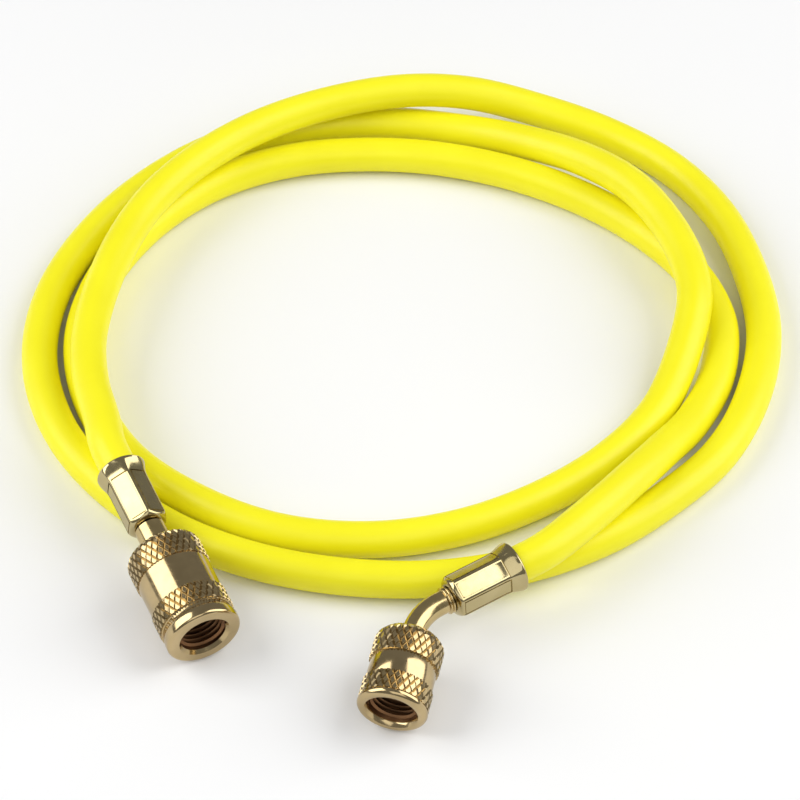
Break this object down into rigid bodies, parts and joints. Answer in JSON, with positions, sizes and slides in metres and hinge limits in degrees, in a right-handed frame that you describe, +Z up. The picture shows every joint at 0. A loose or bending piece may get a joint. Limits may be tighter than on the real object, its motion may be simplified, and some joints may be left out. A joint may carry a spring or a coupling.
{
  "type": "refrigerant charging hose",
  "caption": "Loosely coiled yellow rubber charging hose with crimped ferrules and knurled swivelling flare nuts, one fitting straight and the other bent at 45 degrees.",
  "frame": {"origin": "on the floor the hose lies on, below the middle of its bounding box", "axes": "+Z up from the floor, -Y towards the viewer and out of the fittings' side of the coil, +X to the viewer's right"},
  "size_m": [0.1904, 0.219, 0.0221],
  "materials": {
    "hose_rubber": "smooth bright yellow rubber cover, soft satin",
    "ferrule_brass": "pale plated brass, polished, crimped flats",
    "stem_brass": "machined brass, polished",
    "nut_brass": "turned brass with diamond knurling",
    "seal_rubber": "black moulded seal ring"
  },
  "bodies": {
    "hose_body": {"hose": "hose_rubber", "ferrule_straight": "ferrule_brass", "stem_straight": "stem_brass", "seal_straight": "seal_rubber", "core_depressor": "stem_brass", "ferrule_bent": "ferrule_brass", "stem_bent": "stem_brass", "seal_bent": "seal_rubber"},
    "straight_nut": {"nut_straight": "nut_brass"},
    "bent_nut": {"nut_bent": "nut_brass"}
  },
  "joints": [
    {"name": "straight_nut_swivel", "type": "hinge", "parent": "hose_body", "child": "straight_nut", "pos_m": [-0.05121, -0.07364, 0.01113], "axis": [0.416, -0.9002, -0.1288], "continuous": true},
    {"name": "bent_nut_swivel", "type": "hinge", "parent": "hose_body", "child": "bent_nut", "pos_m": [-0.00044, -0.09764, 0.01006], "axis": [-0.2327, -0.9594, -0.1597], "continuous": true}
  ]
}
